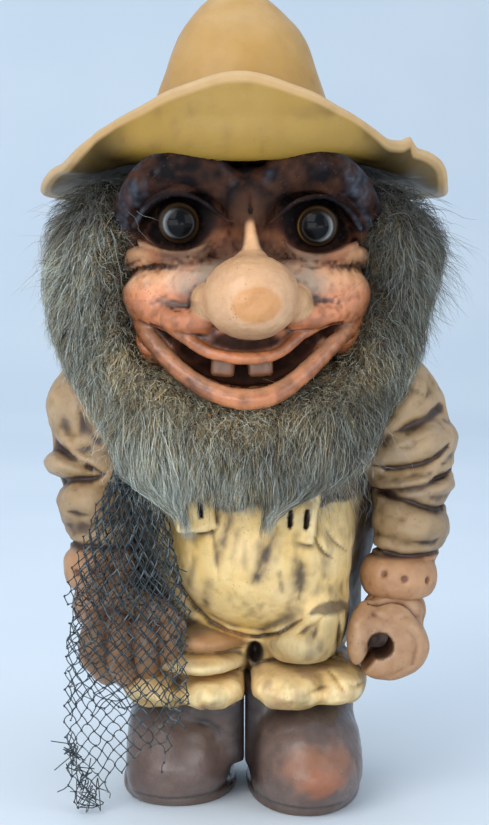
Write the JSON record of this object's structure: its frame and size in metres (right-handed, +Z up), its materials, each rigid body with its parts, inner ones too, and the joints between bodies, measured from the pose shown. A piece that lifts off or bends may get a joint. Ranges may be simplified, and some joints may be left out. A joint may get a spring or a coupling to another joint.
{
  "type": "gnome fisherman figurine",
  "caption": "Standing gnome fisherman figurine in a brimmed rain hat, fur beard, bib overalls and boots, with a knotted net over one hand and a fist socket for a thin rod.",
  "frame": {"origin": "on the floor plane under the centre of the figure's bounding box", "axes": "+Z up, the figure faces -Y, the figure's own left side is +X"},
  "size_m": [0.1582, 0.1595, 0.295],
  "materials": {
    "boot_paint": "satin",
    "overalls_paint": "satin",
    "sweater_paint": "matte",
    "hand_skin": "satin",
    "face_skin": "satin",
    "eye_glass": "gloss",
    "eye_paint": "gloss",
    "hat_paint": "satin",
    "beard_fur": "matte",
    "hair_fur": "matte",
    "net_twine": "matte"
  },
  "bodies": {
    "root": {"boot_left": "boot_paint", "boot_right": "boot_paint", "torso_casting": "overalls_paint", "arm_left": "sweater_paint", "arm_right": "sweater_paint", "hand_left": "hand_skin", "hand_right": "hand_skin", "head_casting": "face_skin", "eye_glass_left": "eye_glass", "eye_glass_right": "eye_glass", "eye_backing_left": "eye_paint", "eye_backing_right": "eye_paint", "hat": "hat_paint", "beard_fur": "beard_fur", "hair_fur": "hair_fur", "fishing_net": "net_twine"}
  },
  "joints": []
}
